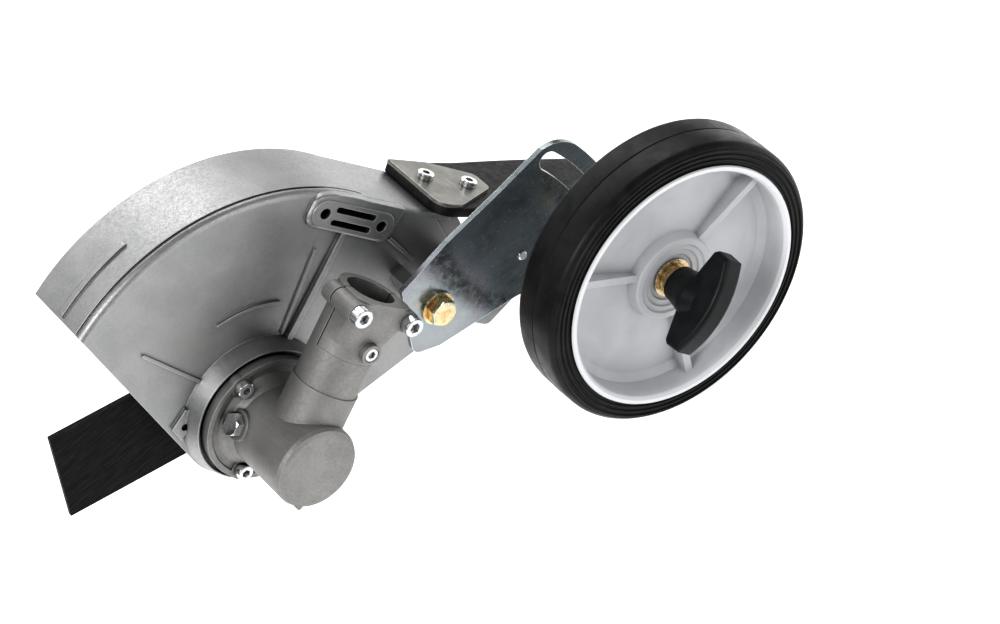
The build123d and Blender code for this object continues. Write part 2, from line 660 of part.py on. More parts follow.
def wheel_bush():
    """Flanged brass bush that the wheel turns on."""
    body = turned_y([
        (AXLE_RADIUS + FIT, -77), (11, -77), (11, -78.6), (BUSH_RADIUS, -78.6), (BUSH_RADIUS, KNOB_BASE),
        (AXLE_RADIUS + FIT, KNOB_BASE)])
    return on_axle(body)


def thrust_washer():
    """Brass washer on the near end of the hub."""
    return on_axle(ring(10.5, BUSH_RADIUS + FIT, -100.6, -99.2))


def wheel_hub():
    """Plastic wheel centre: rim, dished web, hub boss, ring and three ribs."""
    hub = turned_y([
        (TYRE_BORE - FIT, TYRE_FAR - 1.5), (TYRE_BORE - FIT, -108.5), (67, -109.2), (66.6, -110.2),
        (64.6, -110.2), (63.2, -108.2), (61.8, -97), (58, -94.2), (24.4, -95.8), (22.8, -101.4),
        (22.2, -102), (19.4, -102), (18.6, -100.9), (16.2, -100.9), (15.6, -99.9), (13, -99.9),
        (12.4, -99), (BUSH_RADIUS + RUN, -99), (BUSH_RADIUS + RUN, -78.8),
        (14.5, -78.8), (16, -90.6), (26, -91.2), (58, -90.2), (62, -88), (63, -79.5)])
    rib_face = Polyline((21, -92.5), (60.5, -92), (63.0, -103), (24, -99.6), (21, -99.4), close=True)
    rib = extrude(Plane.XY * make_face(rib_face), amount=2.0, both=True)
    for angle in (17, 137, 257):
        hub = hub + Rot(0, -angle, 0) * rib
    back_face = Polyline((14, -80), (62.4, -84), (62, -91), (14, -92), close=True)
    back_rib = extrude(Plane.XY * make_face(back_face), amount=1.2, both=True)
    for index in range(6):
        hub = hub + Rot(0, -60 * index - 17, 0) * back_rib
    return on_axle(hub)


def tyre():
    """Solid rubber tyre with rounded shoulders and two sidewall steps."""
    near = TYRE_NEAR
    outer = WHEEL_RADIUS
    body = turned_y([
        (TYRE_BORE, TYRE_FAR - 1.2), (70, TYRE_FAR), (outer - 3.4, TYRE_FAR), (outer - 1.6, TYRE_FAR - 0.9),
        (outer - 0.5, TYRE_FAR - 3), (outer, TYRE_FAR - 7), (outer, near + 7), (outer - 0.5, near + 3),
        (outer - 1.6, near + 0.9), (outer - 3.4, near), (73.4, near), (72.8, near + 0.7), (71.4, near + 0.7),
        (70.8, near), (69.6, near), (69, near + 0.7), (TYRE_BORE, near + 0.9)])
    return on_axle(body)


def clamp_knob():
    """Black T-handle with a crowned bar and a stem that flares into it."""
    stem = turned_y([
        (0, -126), (8, -126), (11.8, -121), (11.8, -118.5), (10.4, -113), (9.6, -108), (9.4, KNOB_BASE),
        (0, KNOB_BASE)])
    profile = make_face([
        Line((-9, -116.4), (9, -116.4)),
        Line((9, -116.4), (25, -120)),
        Line((25, -120), (26.6, -122)),
        Line((26.6, -122), (26.2, -130.5)),
        ThreePointArc((26.2, -130.5), (0, -137), (-26.2, -130.5)),
        Line((-26.2, -130.5), (-26.6, -122)),
        Line((-26.6, -122), (-25, -120)),
        Line((-25, -120), (-9, -116.4)),
    ])
    bar = extrude(profile, amount=6.4, both=True)
    bar = fillet(bar.faces().sort_by(Axis.Z)[-1].edges() + bar.faces().sort_by(Axis.Z)[0].edges(), 2.6)
    bar = Rot(0, -KNOB_BAR_ANGLE, 0) * bar
    return on_axle(stem + bar - disc(7 + FIT, -118.0, KNOB_BASE + 1))


def knob_insert():
    """Threaded insert moulded in the knob."""
    return on_axle(ring(7, AXLE_RADIUS + RUN, -117.9, KNOB_BASE))


# ---------------------------------------------------------------- write every node
def build():
    os.makedirs("parts", exist_ok=True)
    save("guard_shell", guard_shell())
    save("gear_housing", gear_housing())
    save("clamp_cap", clamp_cap())
    save("clamp_screws", *clamp_screws())
    save("locating_screw", locating_screw())
    save("flange_screws", *flange_screws())
    save("grease_plug", grease_plug())
    save("pinion_shaft", pinion_shaft())
    save("bevel_gear", bevel_gear())
    save("blade_spindle", spindle())
    save("drive_washer", drive_washer())
    save("blade", blade())
    save("blade_clamp_washer", blade_clamp_washer())
    save("blade_nut", blade_nut())
    save("shaft_seal", shaft_seal())
    save("spindle_circlip", on_spindle(circlip(15, 12.6, 9), -13.4))
    save("pinion_circlip", DRIVE * (Pos(0, 0, 36.3) * circlip(13.9, 11.6, 9)))

    outer, inner, balls = bearing(CAP_BEARING, 7)
    save("cap_bearing_outer", on_spindle(outer, CAP_BEARING_Y))
    save("cap_bearing_inner", on_spindle(inner, CAP_BEARING_Y))
    save("cap_bearing_balls", *[on_spindle(ball, CAP_BEARING_Y) for ball in balls])
    outer, inner, balls = bearing(FLANGE_BEARING, 8)
    save("flange_bearing_outer", on_spindle(outer, FLANGE_BEARING_Y))
    save("flange_bearing_inner", on_spindle(inner, FLANGE_BEARING_Y))
    save("flange_bearing_balls", *[on_spindle(ball, FLANGE_BEARING_Y) for ball in balls])
    outer, inner, balls = bearing(PINION_BEARING, 8)
    places = [DRIVE * Pos(0, 0, along) for along in PINION_BEARINGS_AT]
    save("pinion_bearing_outers", *[place * outer for place in places])
    save("pinion_bearing_inners", *[place * inner for place in places])
    save("pinion_bearing_balls", *[place * ball for place in places for ball in balls])

    save("wheel_bracket", wheel_bracket())
    save("bracket_bolt", bracket_bolt())
    save("bracket_washer", bracket_washer())
    save("bracket_pin", bracket_pin())
    save("rubber_flap", rubber_flap())
    save("flap_plate", flap_plate())
    save("flap_screws", *flap_screws())
    save("flap_nuts", *flap_nuts())

    save("axle_bolt", axle_bolt())
    save("axle_washer", axle_washer())
    save("axle_spacer", axle_spacer())
    save("wheel_bush", wheel_bush())
    save("thrust_washer", thrust_washer())
    save("wheel_hub", wheel_hub())
    save("tyre", tyre())
    save("clamp_knob", clamp_knob())
    save("knob_insert", knob_insert())


build()
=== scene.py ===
import math

import bpy
from mathutils import Matrix, Vector


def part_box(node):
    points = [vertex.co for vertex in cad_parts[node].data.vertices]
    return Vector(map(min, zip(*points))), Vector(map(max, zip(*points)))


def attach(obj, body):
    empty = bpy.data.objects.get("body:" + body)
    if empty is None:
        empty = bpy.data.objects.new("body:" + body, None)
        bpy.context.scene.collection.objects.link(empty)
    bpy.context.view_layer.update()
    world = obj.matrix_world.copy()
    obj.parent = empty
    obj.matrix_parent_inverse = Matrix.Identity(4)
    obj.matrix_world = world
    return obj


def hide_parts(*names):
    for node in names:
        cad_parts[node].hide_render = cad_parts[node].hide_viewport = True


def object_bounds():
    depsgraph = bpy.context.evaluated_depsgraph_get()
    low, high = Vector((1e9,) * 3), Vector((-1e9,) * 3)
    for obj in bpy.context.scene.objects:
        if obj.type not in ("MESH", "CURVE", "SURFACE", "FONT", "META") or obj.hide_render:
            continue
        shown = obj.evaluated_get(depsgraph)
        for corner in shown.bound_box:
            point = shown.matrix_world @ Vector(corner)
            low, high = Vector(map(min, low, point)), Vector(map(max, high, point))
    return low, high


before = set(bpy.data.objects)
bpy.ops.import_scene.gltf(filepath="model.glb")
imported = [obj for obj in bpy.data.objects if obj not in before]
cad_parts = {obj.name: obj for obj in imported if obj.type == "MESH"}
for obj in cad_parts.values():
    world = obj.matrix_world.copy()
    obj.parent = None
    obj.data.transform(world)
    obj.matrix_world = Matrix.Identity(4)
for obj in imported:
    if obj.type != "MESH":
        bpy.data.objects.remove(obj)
cad_low, cad_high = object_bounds()
MM = 0.001

# Lawn edger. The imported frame's origin is the mouth of the tube clamp. The gear-head axes have
# the blade axis as the line X = Z = 0 and the outer face of the guard at Y = 0, in millimetres.
TUBE_ANGLE = math.radians(35.0)     # the drive tube's slope
CLAMP_REACH = 89.0                  # from the blade axis along the tube to the clamp's mouth
GUARD_FACE = 40.0                   # from the tube's axis across to the guard's outer face
HEAD = Vector((-CLAMP_REACH * math.cos(TUBE_ANGLE), GUARD_FACE, -CLAMP_REACH * math.sin(TUBE_ANGLE)))

# Rubber flap, in millimetres and along its own slope
FLAP_SLOPE = math.radians(45.0)
FLAP_CORNER = (129.0, 45.0, 23.0)   # its upper corner on the blade side, in gear-head axes
FLAP_WIDTH = 50.0
FLAP_LENGTH = 126.0
FLAP_THICKNESS = 5.0
FLAP_ROUNDING = 10.0                # of its upper corner on the wheel side
FLAP_HELD = 43.0                    # the part that lies flat on the guard's tongue
FLAP_CURL = 3.0                     # rise of its free end
FLAP_WAVE = 1.0                     # bulge of its blade-side edge
FLAP_RIPPLE = 0.35                  # height of the waves across it
FLAP_EDGE = 0.6                     # width of the bevel along its cut edges
FLAP_ROWS = 60
FLAP_COLUMNS = 24

# Tyre, in millimetres
TYRE_BORE = 66.05
TYRE_RINGS = (68.6, 71.2, 73.8)     # inner radii of its near sidewall's raised rings; the far one has two
RING_WIDTH = 1.6
RING_SLOPE = 0.35                   # width of each of a ring's two flanks
TYRE_SEGMENTS = 220
PARTING_OFFSET = 1.0                # of the tread's parting line from the middle
CORNER_STEPS = 4                    # points along each rounded corner of a turned profile

# Stage, in metres and watts
FLOOR_DROP = 0.013                  # room for the blade, which stands lower when it is upright
FLOOR_HALF = 6.0
FILL_STRENGTH = 0.26
LIGHTS = (                          # name, place, target, size, power
    ("key", (-1.1, -0.5, 1.5), (0, 0, 0), (1.0, 1.0), 20),
    ("rear", (0.72, 1.25, 1.0), (0, 0, 0), (2.0, 0.9), 17),
    ("rear_left", (-0.62, 1.05, 1.0), (0, 0, 0), (0.9, 0.7), 2.4),
    ("front", (0.7, -1.5, 0.5), (0.05, 0, -0.05), (0.9, 0.6), 5),
)

# Camera: above the part, in front of it and a little to the left, tipped over clockwise
CAMERA_PLACE = (-0.2364, -1.0821, 1.1391)
CAMERA_HEADING = math.radians(14.877)   # from +Y towards +X
CAMERA_DIP = math.radians(47.254)       # below level
CAMERA_ROLL = math.radians(-28.907)
CAMERA_SENSOR = 36.0                    # width, in millimetres
CAMERA_LENS = 118.56                    # focal length, in millimetres


def head(x, y, z):
    """Point given in gear-head axes, in the frame's metres."""
    return (Vector((x, y, z)) + HEAD) * MM


def middle(node):
    """Centre of a CAD node's box."""
    low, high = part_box(node)
    return (low + high) / 2


AXLE = middle("axle_spacer")
BOLT = middle("bracket_bolt")


# ---------------------------------------------------------------- material helpers
class Look:
    """A node material. Its pattern coordinates are the object's own, in millimetres."""

    SAMPLES = 6                     # rays of the nodes that look at the shape around a point
    EDGE_START, EDGE_FULL = 0.015, 0.16
    OPEN_FACE, DEEP_RECESS = 0.78, 0.22
    MIX_FIRST, MIX_SECOND, MIX_RESULT = 6, 7, 2     # the mix node's colour sockets

    def __init__(self, name, roughness=0.5, metallic=0.0, specular=0.5):
        self.material = bpy.data.materials.new(name)
        self.material.use_nodes = True
        self.tree = self.material.node_tree
        self.shader = self.tree.nodes["Principled BSDF"]
        self.shader.inputs["Roughness"].default_value = roughness
        self.shader.inputs["Metallic"].default_value = metallic
        self.shader.inputs["Specular IOR Level"].default_value = specular
        source = self.tree.nodes.new("ShaderNodeTexCoord")
        scaled = self.tree.nodes.new("ShaderNodeVectorMath")
        scaled.operation = "SCALE"
        scaled.inputs["Scale"].default_value = 1 / MM
        self.link(source.outputs["Object"], scaled.inputs[0])
        self.place = scaled.outputs["Vector"]
        self.height = None

    def link(self, output, socket):
        self.tree.links.new(output, socket)

    def feed(self, value, socket):
        """Link an output or set a constant."""
        if isinstance(value, bpy.types.NodeSocket):
            self.link(value, socket)
        else:
            socket.default_value = value

    def stretched(self, scale, centre=(0.0, 0.0, 0.0)):
        """Coordinates measured from a point and scaled per axis."""
        moved = self.tree.nodes.new("ShaderNodeVectorMath")
        moved.operation = "SUBTRACT"
        self.link(self.place, moved.inputs[0])
        moved.inputs[1].default_value = centre
        scaled = self.tree.nodes.new("ShaderNodeVectorMath")
        scaled.operation = "MULTIPLY"
        self.link(moved.outputs[0], scaled.inputs[0])
        scaled.inputs[1].default_value = scale
        return scaled.outputs[0]

    def noise(self, scale, detail=4.0, roughness=0.55, distortion=0.0, place=None):
        """Noise from 0 to 1; scale is in features per millimetre."""
        node = self.tree.nodes.new("ShaderNodeTexNoise")
        node.inputs["Scale"].default_value = scale
        node.inputs["Detail"].default_value = detail
        node.inputs["Roughness"].default_value = roughness
        node.inputs["Distortion"].default_value = distortion
        self.link(place or self.place, node.inputs["Vector"])
        return node.outputs["Fac"]

    def cells(self, scale):
        """Distance to the nearest of scattered points."""
        node = self.tree.nodes.new("ShaderNodeTexVoronoi")
        node.inputs["Scale"].default_value = scale
        self.link(self.place, node.inputs["Vector"])
        return node.outputs["Distance"]

    def math(self, operation, first, second=0.0):
        """One step of arithmetic on outputs or constants."""
        node = self.tree.nodes.new("ShaderNodeMath")
        node.operation = operation
        self.feed(first, node.inputs[0])
        self.feed(second, node.inputs[1])
        return node.outputs[0]

    def spread(self, value, low, high, out_low=0.0, out_high=1.0):
        """Map a range smoothly onto another, clamped."""
        node = self.tree.nodes.new("ShaderNodeMapRange")
        node.interpolation_type = "SMOOTHSTEP"
        self.feed(value, node.inputs["Value"])
        node.inputs["From Min"].default_value = low
        node.inputs["From Max"].default_value = high
        node.inputs["To Min"].default_value = out_low
        node.inputs["To Max"].default_value = out_high
        return node.outputs["Result"]

    def mix(self, amount, first, second):
        """Mix two colours, each a tuple or an output."""
        node = self.tree.nodes.new("ShaderNodeMix")
        node.data_type = "RGBA"
        self.feed(amount, node.inputs["Factor"])
        for value, socket in ((first, self.MIX_FIRST), (second, self.MIX_SECOND)):
            colour = value if isinstance(value, bpy.types.NodeSocket) else (*value, 1.0)
            self.feed(colour, node.inputs[socket])
        return node.outputs[self.MIX_RESULT]

    def edges(self, radius):
        """1 along the piece's edges, from the difference between rounded and true normals."""
        soft = self.tree.nodes.new("ShaderNodeBevel")
        soft.samples = self.SAMPLES
        soft.inputs["Radius"].default_value = radius * MM
        true = self.tree.nodes.new("ShaderNodeNewGeometry")
        dot = self.tree.nodes.new("ShaderNodeVectorMath")
        dot.operation = "DOT_PRODUCT"
        self.link(soft.outputs[0], dot.inputs[0])
        self.link(true.outputs["Normal"], dot.inputs[1])
        turned = self.math("SUBTRACT", 1.0, dot.outputs["Value"])
        return self.spread(turned, self.EDGE_START, self.EDGE_FULL)

    def painted_recess_shade(self, reach, strength):
        """Amount of painted shade: strength deep in recesses and inner corners, none on open faces."""
        node = self.tree.nodes.new("ShaderNodeAmbientOcclusion")
        node.samples = self.SAMPLES
        node.inputs["Distance"].default_value = reach * MM
        return self.spread(node.outputs["AO"], self.OPEN_FACE, self.DEEP_RECESS, 0.0, strength)

    def radius_from(self, centre):
        """Distance in mm from a line along Y through a point given in metres."""
        flat = self.stretched((1.0, 0.0, 1.0), tuple(centre / MM))
        node = self.tree.nodes.new("ShaderNodeVectorMath")
        node.operation = "LENGTH"
        self.link(flat, node.inputs[0])
        return node.outputs["Value"]

    def bump(self, height, distance, strength):
        """Add a bump layer, its depth in mm, over the layers already there."""
        node = self.tree.nodes.new("ShaderNodeBump")
        node.inputs["Strength"].default_value = strength
        node.inputs["Distance"].default_value = distance * MM
        self.link(height, node.inputs["Height"])
        if self.height is not None:
            self.link(self.height, node.inputs["Normal"])
        self.height = node.outputs["Normal"]

    def round_edges(self, radius):
        """Round the shading of sharp edges, under the bump layers."""
        node = self.tree.nodes.new("ShaderNodeBevel")
        node.samples = self.SAMPLES
        node.inputs["Radius"].default_value = radius * MM
        self.height = node.outputs["Normal"]

    def finish(self, colour, roughness=None):
        """Connect the layers to the shader."""
        self.feed(colour, self.shader.inputs["Base Color"])
        if roughness is not None:
            self.feed(roughness, self.shader.inputs["Roughness"])
        if self.height is not None:
            self.link(self.height, self.shader.inputs["Normal"])
        return self.material


# ---------------------------------------------------------------- metals
def cast_metal(name, light, dark, edge, grain, roughness):
    """Fettled aluminium casting: grain, soft blotches, pits, brighter edges that are partly rubbed and
    partly a painted highlight, and painted shade in recesses and next to other parts.
    """
    look = Look(name, metallic=0.85)
    look.round_edges(0.7)
    blotch = look.noise(0.035, 5.0, 0.6, 0.3)
    speck = look.noise(1.9, 3.0, 0.6)
    pits = look.cells(0.55)
    base = look.mix(look.spread(blotch, 0.32, 0.68), dark, light)
    base = look.mix(look.spread(speck, 0.50, 0.76, 0.0, 0.42), base, edge)
    base = look.mix(look.spread(pits, 0.1, 0.0, 0.0, 0.5), base, tuple(0.45 * c for c in dark))
    # Lighter edges: partly rubbed wear, partly a painted highlight.
    base = look.mix(look.math("MULTIPLY", look.edges(0.9), 0.7), base, edge)
    # Painted shade: a broad darkening wherever other shapes are near, then near-black painted shade deep in
    # recesses.
    base = look.mix(look.painted_recess_shade(45.0, 0.6), base, (0.04, 0.04, 0.04))
    base = look.mix(look.painted_recess_shade(7.0, 0.92), base, (0.012, 0.012, 0.012))
    look.bump(look.noise(0.3, 4.0, 0.6), 0.10, 0.5)
    look.bump(look.noise(grain, 6.0, 0.72), 0.15, 0.7)
    look.bump(look.spread(pits, 0.12, 0.0), -0.05, 0.5)
    rough = look.spread(look.noise(0.6, 5.0), 0.3, 0.7, roughness - 0.07, roughness + 0.09)
    return look.finish(base, rough)


def zinc_sheet(name):
    """Rolled steel sheet in blue zinc plate, with faint rolling lines, tinted rings by the bolt, a painted
    reflection that lightens it round the bolt, painted shade that keeps the rest dark, and painted
    highlights along its edges.
    """
    look = Look(name, metallic=1.0)
    look.round_edges(0.35)
    lines = look.noise(0.9, 5.0, 0.6, place=look.stretched((0.06, 1.0, 1.1)))
    cloud = look.noise(0.03, 4.0, 0.6, 0.6)
    # Painted shade: the plate's own colour is kept dark, so that it reflects darker.
    base = look.mix(look.spread(cloud, 0.3, 0.7), (0.13, 0.152, 0.158), (0.20, 0.225, 0.235))
    base = look.mix(look.spread(lines, 0.45, 0.72, 0.0, 0.12), base, (0.50, 0.53, 0.55))
    # Painted reflection: the plate is made lighter round the bolt.
    near = look.radius_from(BOLT)
    base = look.mix(look.spread(near, 44.0, 18.0, 0.0, 0.8), base, (0.38, 0.43, 0.47))
    ring = look.math("ADD", near, look.spread(cloud, 0.3, 0.7, -3.0, 3.0))
    warm = look.math("MULTIPLY", look.spread(ring, 11.0, 15.0), look.spread(ring, 25.0, 17.0))
    violet = look.math("MULTIPLY", look.spread(ring, 19.0, 24.0), look.spread(ring, 34.0, 27.0))
    base = look.mix(look.math("MULTIPLY", warm, 0.14), base, (0.55, 0.42, 0.26))
    base = look.mix(look.math("MULTIPLY", violet, 0.3), base, (0.40, 0.33, 0.36))
    # Painted highlight: the edges are made near white.
    base = look.mix(look.edges(0.7), base, (0.86, 0.88, 0.9))
    rough = look.spread(look.noise(0.22, 5.0, 0.65), 0.3, 0.7, 0.17, 0.30)
    look.bump(lines, 0.012, 0.5)
    look.bump(look.noise(0.12, 3.0), 0.12, 0.5)
    return look.finish(base, rough)


def bright_metal(name, light, dark, roughness, edge_wear_and_highlight=(0.95, 0.95, 0.95)):
    """Plated or turned small metal part."""
    look = Look(name, metallic=1.0)
    look.round_edges(0.25)
    base = look.mix(look.spread(look.noise(0.9, 4.0, 0.6), 0.35, 0.65), dark, light)
    # Lighter edges: partly wear, partly a painted highlight.
    base = look.mix(look.math("MULTIPLY", look.edges(0.35), 0.6), base, edge_wear_and_highlight)
    # Painted shade, near black, in sockets and recesses.
    base = look.mix(look.painted_recess_shade(2.6, 0.94), base, (0.015, 0.015, 0.015))
    rough = look.spread(look.noise(1.7, 4.0), 0.3, 0.7, roughness * 0.7, roughness * 1.4)
    look.bump(look.noise(2.6, 4.0, 0.6), 0.02, 0.5)
    return look.finish(base, rough)


def yellow_zinc(name):
    """Chromate finish whose colour drifts between gold, straw, green and rose."""
    look = Look(name, metallic=1.0)
    look.round_edges(0.3)
    drift = look.noise(0.16, 3.0, 0.55, 0.8)
    base = look.mix(look.spread(drift, 0.36, 0.5), (0.74, 0.52, 0.25), (0.84, 0.72, 0.47))
    base = look.mix(look.spread(drift, 0.52, 0.6, 0.0, 0.55), base, (0.50, 0.56, 0.40))
    base = look.mix(look.spread(drift, 0.62, 0.72, 0.0, 0.6), base, (0.66, 0.42, 0.38))
    # Lighter edges: partly wear, partly a painted highlight.
    base = look.mix(look.math("MULTIPLY", look.edges(0.5), 0.5), base, (0.98, 0.86, 0.60))
    # Painted shade, dark, in recesses.
    base = look.mix(look.painted_recess_shade(4.0, 0.85), base, (0.03, 0.025, 0.015))
    rough = look.spread(look.noise(1.2, 4.0), 0.3, 0.7, 0.16, 0.30)
    look.bump(look.noise(1.8, 4.0), 0.03, 0.5)
    return look.finish(base, rough)


def worn_steel_plate(name):
    """Beige-grey steel plate with scuffs."""
    look = Look(name, metallic=0.75)
    look.round_edges(0.3)
    cloud = look.noise(0.07, 5.0, 0.65, 0.4)
    scuff = look.noise(0.5, 6.0, 0.7, place=look.stretched((1.0, 0.12, 0.6)))
    base = look.mix(look.spread(cloud, 0.32, 0.68), (0.22, 0.213, 0.19), (0.32, 0.313, 0.285))
    base = look.mix(look.spread(scuff, 0.52, 0.75, 0.0, 0.5), base, (0.64, 0.63, 0.60))
    base = look.mix(look.spread(look.noise(0.8, 5.0), 0.62, 0.75, 0.0, 0.6), base, (0.16, 0.15, 0.14))
    # Lighter edges: partly wear, partly a painted highlight.
    base = look.mix(look.math("MULTIPLY", look.edges(0.6), 0.85), base, (0.85, 0.85, 0.83))
    # Painted shade, near black, in recesses.
    base = look.mix(look.painted_recess_shade(4.0, 0.85), base, (0.02, 0.02, 0.018))
    rough = look.spread(scuff, 0.3, 0.7, 0.32, 0.5)
    look.bump(scuff, 0.05, 0.6)
    return look.finish(base, rough)


def black_blade(name):
    """Hardened blade with a black oxide skin, faint grinding lines and a bare edge."""
    look = Look(name, metallic=0.1, specular=0.07)
    look.round_edges(0.2)
    lines = look.noise(0.8, 5.0, 0.6, place=look.stretched((0.08, 1.0, 0.9)))
    base = look.mix(look.spread(lines, 0.35, 0.7), (0.006, 0.006, 0.006), (0.016, 0.017, 0.016))
    rubbed = look.noise(0.25, 6.0, 0.7)
    base = look.mix(look.spread(rubbed, 0.6, 0.78, 0.0, 0.4), base, (0.035, 0.037, 0.035))
    base = look.mix(look.math("MULTIPLY", look.edges(0.4), 0.25), base, (0.12, 0.12, 0.12))
    rough = look.spread(look.noise(0.6, 5.0), 0.3, 0.7, 0.44, 0.62)
    look.bump(lines, 0.03, 0.5)
    look.bump(look.noise(1.4, 5.0, 0.7), 0.05, 0.5)
    return look.finish(base, rough)


# ---------------------------------------------------------------- rubber and plastic
def flap_rubber(name):
    """Cut sheet rubber with a dull bloom and fine grain."""
    look = Look(name, specular=0.2)
    cloud = look.noise(0.06, 5.0, 0.6, 0.5)
    base = look.mix(look.spread(cloud, 0.3, 0.7), (0.008, 0.008, 0.009), (0.026, 0.024, 0.024))
    base = look.mix(look.spread(look.noise(1.4, 4.0), 0.6, 0.8, 0.0, 0.3), base, (0.06, 0.055, 0.052))
    rough = look.spread(look.noise(0.4, 5.0), 0.3, 0.7, 0.42, 0.6)
    look.bump(look.noise(1.1, 5.0, 0.65), 0.08, 0.5)
    return look.finish(base, rough)


def tyre_rubber(name):
    """Moulded rubber: satin black, concentric mould marks, a light dust of wear."""
    look = Look(name, specular=0.16)
    around = look.radius_from(AXLE)
    cloud = look.noise(0.05, 5.0, 0.6, 0.6)
    base = look.mix(look.spread(cloud, 0.3, 0.7), (0.006, 0.006, 0.007), (0.017, 0.016, 0.0155))
    dust = look.noise(0.35, 6.0, 0.7)
    base = look.mix(look.spread(dust, 0.58, 0.78, 0.0, 0.35), base, (0.045, 0.041, 0.038))
    rough = look.spread(look.noise(0.12, 5.0, 0.6), 0.3, 0.7, 0.30, 0.46)
    marks = look.math("SINE", look.math("MULTIPLY", around, 5.5))
    look.bump(marks, 0.012, 0.4)
    look.bump(look.noise(1.6, 5.0, 0.6), 0.04, 0.45)
    return look.finish(base, rough)


def wheel_plastic(name):
    """Pale grey moulded plastic with faint flow marks and small scuffs."""
    look = Look(name, specular=0.45)
    look.round_edges(0.5)
    around = look.radius_from(AXLE)
    flow = look.noise(0.045, 4.0, 0.5, 0.5)
    base = look.mix(look.spread(flow, 0.3, 0.7), (0.47, 0.477, 0.497), (0.54, 0.547, 0.567))
    # Painted highlight: the rim lip is made near white all round.
    base = look.mix(look.spread(around, 62.5, 64.0, 0.0, 0.75), base, (0.86, 0.87, 0.88))
    scuff = look.noise(0.7, 6.0, 0.75)
    base = look.mix(look.spread(scuff, 0.66, 0.78, 0.0, 0.4), base, (0.36, 0.36, 0.37))
    # Lighter edges: partly wear, partly a painted highlight.
    base = look.mix(look.math("MULTIPLY", look.edges(0.8), 0.35), base, (0.80, 0.80, 0.82))
    # Painted shade in recesses and inner corners.
    base = look.mix(look.painted_recess_shade(9.0, 0.6), base, (0.16, 0.16, 0.17))
    rough = look.spread(look.noise(0.3, 4.0), 0.3, 0.7, 0.36, 0.48)
    look.bump(look.noise(0.09, 3.0), 0.22, 0.5)
    look.bump(look.noise(2.2, 4.0, 0.6), 0.025, 0.5)
    return look.finish(base, rough)


def black_plastic(name, gloss=0.3):
    """Glass-filled black plastic with a fine spark-eroded grain."""
    look = Look(name, specular=0.18)
    look.round_edges(0.5)
    cloud = look.spread(look.noise(0.08, 4.0), 0.3, 0.7)
    base = look.mix(cloud, (0.006, 0.0065, 0.007), (0.013, 0.014, 0.015))
    base = look.mix(look.math("MULTIPLY", look.edges(0.7), 0.3), base, (0.035, 0.036, 0.038))
    rough = look.spread(look.noise(0.5, 4.0), 0.3, 0.7, gloss, gloss + 0.14)
    look.bump(look.noise(1.7, 4.0, 0.6), 0.05, 0.5)
    return look.finish(base, rough)


# ---------------------------------------------------------------- finishes of the CAD nodes
FINISHES = {
    "cast_aluminium": cast_metal(
        "cast_guard", light=(0.36, 0.36, 0.357), dark=(0.30, 0.302, 0.303), edge=(0.62, 0.62, 0.61),
        grain=0.9, roughness=0.40),
    "cast_gear_case": cast_metal(
        "cast_gear_case", light=(0.32, 0.314, 0.303), dark=(0.245, 0.241, 0.234), edge=(0.52, 0.514, 0.50),
        grain=1.3, roughness=0.58),
    "zinc_plate": zinc_sheet("zinc_sheet"),
    "bright_zinc": bright_metal("bright_zinc", (0.80, 0.81, 0.82), (0.62, 0.63, 0.64), 0.2),
    "yellow_zinc": yellow_zinc("yellow_zinc"),
    "brass": bright_metal("brass", (0.70, 0.57, 0.36), (0.50, 0.39, 0.24), 0.24, (0.95, 0.86, 0.66)),
    "flap_steel": worn_steel_plate("flap_steel"),
    "steel": bright_metal("machined_steel", (0.52, 0.52, 0.53), (0.38, 0.38, 0.39), 0.26),
    "black_blade": black_blade("black_blade"),
    "rubber": flap_rubber("flap_rubber"),
    "tyre_rubber": tyre_rubber("tyre_rubber"),
    "wheel_plastic": wheel_plastic("wheel_plastic"),
    "knob_plastic": black_plastic("knob_plastic"),
    "seal_rubber": black_plastic("seal_rubber", 0.42),
}


def finish_cad_nodes():
    """Give each CAD node the finish of the slot that it carries."""
    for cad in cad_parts.values():
        cad_slot = cad.data.materials[0].name.split(".")[0]
        cad.data.materials.clear()
        cad.data.materials.append(FINISHES[cad_slot])


# ---------------------------------------------------------------- pieces that stand for CAD nodes
def add_piece(name, points, faces, material, smooth=True):
    """A mesh object from points in metres."""
    mesh = bpy.data.meshes.new(name)
    mesh.from_pydata([tuple(p) for p in points], [], faces)
    mesh.validate()
    if smooth:
        mesh.shade_smooth()
    piece = bpy.data.objects.new(name, mesh)
    bpy.context.scene.collection.objects.link(piece)
    piece.data.materials.append(material)
    return piece


def rounded_profile(points):
    """Closed (radius, y) profile with each corner rounded by its own third value."""
    out = []
    count = len(points)
    for index, (radius, y, corner) in enumerate(points):
        here = Vector((radius, y))
        before = Vector(points[index - 1][:2])
        after = Vector(points[(index + 1) % count][:2])
        if corner <= 0:
            out.append(here)
            continue
        start = here + (before - here).normalized() * corner
        end = here + (after - here).normalized() * corner
        for step in range(CORNER_STEPS + 1):
            t = step / CORNER_STEPS
            out.append(start * (1 - t) ** 2 + here * 2 * t * (1 - t) + end * t * t)
    return out


def turned_about_axle(name, profile, material, segments):
    """Solid of revolution about the wheel's axle from a closed (radius mm, y mm) profile."""
    points = []
    faces = []
    count = len(profile)
    for segment in range(segments):
        angle = 2 * math.pi * segment / segments
        for radius, y in profile:
            points.append((
                AXLE.x + radius * MM * math.cos(angle),
                (y + HEAD.y) * MM,
                AXLE.z + radius * MM * math.sin(angle)))
    for segment in range(segments):
        here = segment * count
        beside = (segment + 1) % segments * count
        for index in range(count):
            other = (index + 1) % count
            faces.append((here + index, here + other, beside + other, beside + index))
    return add_piece(name, points, faces, material)


def sidewall_ring(radius, wall, crest):
    """Profile of a raised ring between two heights, from its inner radius outwards."""
    return [(radius, wall, 0.25), (radius + RING_SLOPE, crest, 0.3),
            (radius + RING_WIDTH - RING_SLOPE, crest, 0.3), (radius + RING_WIDTH, wall, 0.25)]


